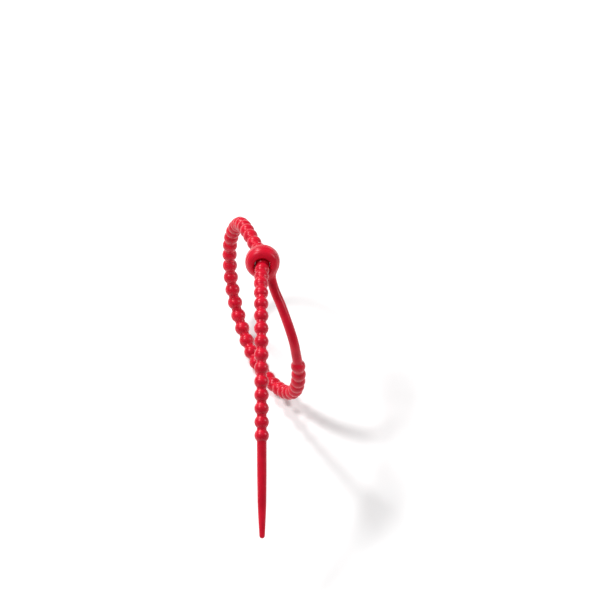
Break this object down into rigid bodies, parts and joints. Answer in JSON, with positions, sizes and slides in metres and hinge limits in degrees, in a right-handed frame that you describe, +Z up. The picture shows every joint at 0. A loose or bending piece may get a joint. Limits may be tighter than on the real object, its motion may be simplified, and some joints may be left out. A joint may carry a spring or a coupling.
{
  "type": "beaded silicone tie",
  "caption": "Reusable beaded silicone tie closed into a loop: a round button head with an eye, a smooth neck, a beaded strap threaded back through the eye, and a smooth pointed tail.",
  "frame": {"origin": "middle of the closed loop, which is the middle of whatever the tie holds", "axes": "+X along the held bundle, square to the loop; -Y to the front, where the neck runs down and the tail hangs; +Z up, towards the head"},
  "size_m": [0.043, 0.1306, 0.0802],
  "materials": {
    "silicone": "satin"
  },
  "bodies": {
    "head": {"head": "silicone"},
    "eye_strap": {"eye_bead_1": "silicone", "eye_bead_2": "silicone", "eye_bead_3": "silicone", "eye_bead_4": "silicone"},
    "neck_upper": {"neck_1": "silicone", "neck_2": "silicone"},
    "neck_lower": {"neck_3": "silicone", "loop_bead_01": "silicone", "loop_bead_02": "silicone", "loop_bead_03": "silicone", "loop_bead_04": "silicone"},
    "loop_beads_05_10": {"loop_bead_05": "silicone", "loop_bead_06": "silicone", "loop_bead_07": "silicone", "loop_bead_08": "silicone", "loop_bead_09": "silicone", "loop_bead_10": "silicone"},
    "loop_beads_11_16": {"loop_bead_11": "silicone", "loop_bead_12": "silicone", "loop_bead_13": "silicone", "loop_bead_14": "silicone", "loop_bead_15": "silicone", "loop_bead_16": "silicone"},
    "loop_beads_17_22": {"loop_bead_17": "silicone", "loop_bead_18": "silicone", "loop_bead_19": "silicone", "loop_bead_20": "silicone", "loop_bead_21": "silicone", "loop_bead_22": "silicone"},
    "loop_beads_23_28": {"loop_bead_23": "silicone", "loop_bead_24": "silicone", "loop_bead_25": "silicone", "loop_bead_26": "silicone", "loop_bead_27": "silicone", "loop_bead_28": "silicone"},
    "loop_beads_29_33": {"loop_bead_29": "silicone", "loop_bead_30": "silicone", "loop_bead_31": "silicone", "loop_bead_32": "silicone", "loop_bead_33": "silicone"},
    "loop_bead_34": {"loop_bead_34": "silicone"},
    "tail_bead_01": {"tail_bead_01": "silicone"},
    "tail_bead_02": {"tail_bead_02": "silicone"},
    "tail_bead_03": {"tail_bead_03": "silicone"},
    "tail_bead_04": {"tail_bead_04": "silicone"},
    "tail_bead_05": {"tail_bead_05": "silicone"},
    "tail_bead_06": {"tail_bead_06": "silicone"},
    "tail_bead_07": {"tail_bead_07": "silicone"},
    "tail_bead_08": {"tail_bead_08": "silicone"},
    "tail_bead_09": {"tail_bead_09": "silicone"},
    "tail_bead_10": {"tail_bead_10": "silicone"},
    "tail_bead_11": {"tail_bead_11": "silicone"},
    "tail_bead_12": {"tail_bead_12": "silicone"},
    "tail_bead_13": {"tail_bead_13": "silicone"},
    "tail_middle": {"tail_middle": "silicone"},
    "tail_tip": {"tail_tip": "silicone"}
  },
  "joints": [
    {"name": "strap_pull", "type": "slide", "parent": "head", "child": "eye_strap", "axis": [-0.3822, -0.8585, 0.342], "range_m": [-0.00958, 0.00479]},
    {"name": "neck_upper_bend", "type": "hinge", "parent": "head", "child": "neck_upper", "pos_m": [0.00012, -0.01621, 0.02882], "axis": [1, 0, 0], "range_deg": [-2.63, 5.27]},
    {"name": "neck_lower_bend", "type": "hinge", "parent": "neck_upper", "child": "neck_lower", "pos_m": [0.00184, -0.03004, 0.01438], "axis": [1, 0, 0], "range_deg": [-0.64, 1.28]},
    {"name": "loop_beads_05_10_bend", "type": "hinge", "parent": "neck_lower", "child": "loop_beads_05_10", "pos_m": [0.00301, -0.02834, -0.01375], "axis": [1, 0, 0], "range_deg": [-9.99, 5]},
    {"name": "loop_beads_11_16_bend", "type": "hinge", "parent": "loop_beads_05_10", "child": "loop_beads_11_16", "pos_m": [0.00133, -0.00653, -0.03116], "axis": [0, -0.1953, 0.9807], "range_deg": [-1.61, 0.81]},
    {"name": "loop_beads_17_22_bend", "type": "hinge", "parent": "loop_beads_11_16", "child": "loop_beads_17_22", "pos_m": [0.00078, 0.0207, -0.02573], "axis": [1, 0, 0], "range_deg": [-2.59, 1.29]},
    {"name": "loop_beads_23_28_bend", "type": "hinge", "parent": "loop_beads_17_22", "child": "loop_beads_23_28", "pos_m": [0.00251, 0.03291, -0.00087], "axis": [1, 0, 0], "range_deg": [-1.41, 2.82]},
    {"name": "loop_beads_29_33_bend", "type": "hinge", "parent": "loop_beads_23_28", "child": "loop_beads_29_33", "pos_m": [0.00223, 0.02055, 0.02424], "axis": [0, -0.4416, -0.8972], "range_deg": [-6.58, 3.29]},
    {"name": "loop_bead_34_bend", "type": "hinge", "parent": "loop_beads_29_33", "child": "loop_bead_34", "pos_m": [0.00006, -0.00062, 0.03466], "axis": [1, 0, 0], "range_deg": [-1.43, 2.86]},
    {"name": "tail_curl", "type": "hinge", "parent": "eye_strap", "child": "tail_bead_01", "pos_m": [-0.00742, -0.02169, 0.04247], "axis": [-0.9291, 0.3697, 0], "range_deg": [-6, 8], "stiffness_Nm_per_rad": 0.021, "springref_deg": 1.24},
    {"name": "tail_swing", "type": "hinge", "parent": "tail_bead_01", "child": "tail_bead_02", "pos_m": [-0.00918, -0.02611, 0.043], "axis": [-0.0283, -0.0712, 0.9971], "range_deg": [-8, 8]},
    {"name": "tail_bead_03_curl", "type": "hinge", "parent": "tail_bead_02", "child": "tail_bead_03", "pos_m": [-0.01095, -0.03055, 0.04263], "axis": [-0.9291, 0.3697, 0], "range_deg": [-6, 8], "stiffness_Nm_per_rad": 0.016, "springref_deg": 1.21},
    {"name": "tail_bead_04_swing", "type": "hinge", "parent": "tail_bead_03", "child": "tail_bead_04", "pos_m": [-0.01268, -0.03489, 0.04158], "axis": [-0.1215, -0.3054, 0.9444], "range_deg": [-8, 8]},
    {"name": "tail_bead_05_curl", "type": "hinge", "parent": "tail_bead_04", "child": "tail_bead_05", "pos_m": [-0.01435, -0.03909, 0.04], "axis": [-0.9291, 0.3697, 0], "range_deg": [-6, 8], "stiffness_Nm_per_rad": 0.012, "springref_deg": 1.17},
    {"name": "tail_bead_06_swing", "type": "hinge", "parent": "tail_bead_05", "child": "tail_bead_06", "pos_m": [-0.01596, -0.04315, 0.03804], "axis": [-0.1745, -0.4386, 0.8816], "range_deg": [-8, 8]},
    {"name": "tail_bead_07_curl", "type": "hinge", "parent": "tail_bead_06", "child": "tail_bead_07", "pos_m": [-0.01753, -0.04708, 0.03577], "axis": [-0.9291, 0.3697, 0], "range_deg": [-6, 8], "stiffness_Nm_per_rad": 0.0078, "springref_deg": 1.24},
    {"name": "tail_bead_08_swing", "type": "hinge", "parent": "tail_bead_07", "child": "tail_bead_08", "pos_m": [-0.01904, -0.05088, 0.03329], "axis": [-0.2047, -0.5143, 0.8328], "range_deg": [-8, 8]},
    {"name": "tail_bead_09_curl", "type": "hinge", "parent": "tail_bead_08", "child": "tail_bead_09", "pos_m": [-0.02052, -0.05459, 0.03064], "axis": [-0.9291, 0.3697, 0], "range_deg": [-6, 8], "stiffness_Nm_per_rad": 0.0051, "springref_deg": 1.24},
    {"name": "tail_bead_10_swing", "type": "hinge", "parent": "tail_bead_09", "child": "tail_bead_10", "pos_m": [-0.02196, -0.05821, 0.02786], "axis": [-0.2221, -0.558, 0.7996], "range_deg": [-8, 8]},
    {"name": "tail_bead_11_curl", "type": "hinge", "parent": "tail_bead_10", "child": "tail_bead_11", "pos_m": [-0.02337, -0.06177, 0.02498], "axis": [-0.9291, 0.3697, 0], "range_deg": [-6, 8], "stiffness_Nm_per_rad": 0.0031, "springref_deg": 1.24},
    {"name": "tail_bead_12_swing", "type": "hinge", "parent": "tail_bead_11", "child": "tail_bead_12", "pos_m": [-0.02477, -0.06528, 0.02203], "axis": [-0.2323, -0.5836, 0.7781], "range_deg": [-8, 8]},
    {"name": "tail_bead_13_curl", "type": "hinge", "parent": "tail_bead_12", "child": "tail_bead_13", "pos_m": [-0.02615, -0.06874, 0.01902], "axis": [-0.9291, 0.3697, 0], "range_deg": [-6, 8], "stiffness_Nm_per_rad": 0.0017, "springref_deg": 1.23},
    {"name": "tail_middle_swing", "type": "hinge", "parent": "tail_bead_13", "child": "tail_middle", "pos_m": [-0.02985, -0.07805, 0.01074], "axis": [-0.2357, -0.5922, 0.7706], "range_deg": [-8, 8]},
    {"name": "tail_tip_curl", "type": "hinge", "parent": "tail_middle", "child": "tail_tip", "pos_m": [-0.03284, -0.08556, 0.00405], "axis": [-0.9291, 0.3697, 0], "range_deg": [-6, 8], "stiffness_Nm_per_rad": 0.00014, "springref_deg": 1.2}
  ],
  "couplings": [
    {"joint": "neck_upper_bend", "follows": "strap_pull", "rad_per_m": -9.5757},
    {"joint": "neck_lower_bend", "follows": "strap_pull", "rad_per_m": -2.3342},
    {"joint": "loop_beads_05_10_bend", "follows": "strap_pull", "rad_per_m": 18.171},
    {"joint": "loop_beads_11_16_bend", "follows": "strap_pull", "rad_per_m": 2.931},
    {"joint": "loop_beads_17_22_bend", "follows": "strap_pull", "rad_per_m": 4.7018},
    {"joint": "loop_beads_23_28_bend", "follows": "strap_pull", "rad_per_m": -5.1174},
    {"joint": "loop_beads_29_33_bend", "follows": "strap_pull", "rad_per_m": 11.957},
    {"joint": "loop_bead_34_bend", "follows": "strap_pull", "rad_per_m": -5.1965},
    {"joint": "tail_bead_03_curl", "follows": "tail_curl", "ratio": 1},
    {"joint": "tail_bead_04_swing", "follows": "tail_swing", "ratio": 1},
    {"joint": "tail_bead_05_curl", "follows": "tail_curl", "ratio": 1},
    {"joint": "tail_bead_06_swing", "follows": "tail_swing", "ratio": 1},
    {"joint": "tail_bead_07_curl", "follows": "tail_curl", "ratio": 1},
    {"joint": "tail_bead_08_swing", "follows": "tail_swing", "ratio": 1},
    {"joint": "tail_bead_09_curl", "follows": "tail_curl", "ratio": 1},
    {"joint": "tail_bead_10_swing", "follows": "tail_swing", "ratio": 1},
    {"joint": "tail_bead_11_curl", "follows": "tail_curl", "ratio": 1},
    {"joint": "tail_bead_12_swing", "follows": "tail_swing", "ratio": 1},
    {"joint": "tail_bead_13_curl", "follows": "tail_curl", "ratio": 1},
    {"joint": "tail_middle_swing", "follows": "tail_swing", "ratio": 1},
    {"joint": "tail_tip_curl", "follows": "tail_curl", "ratio": 1}
  ]
}
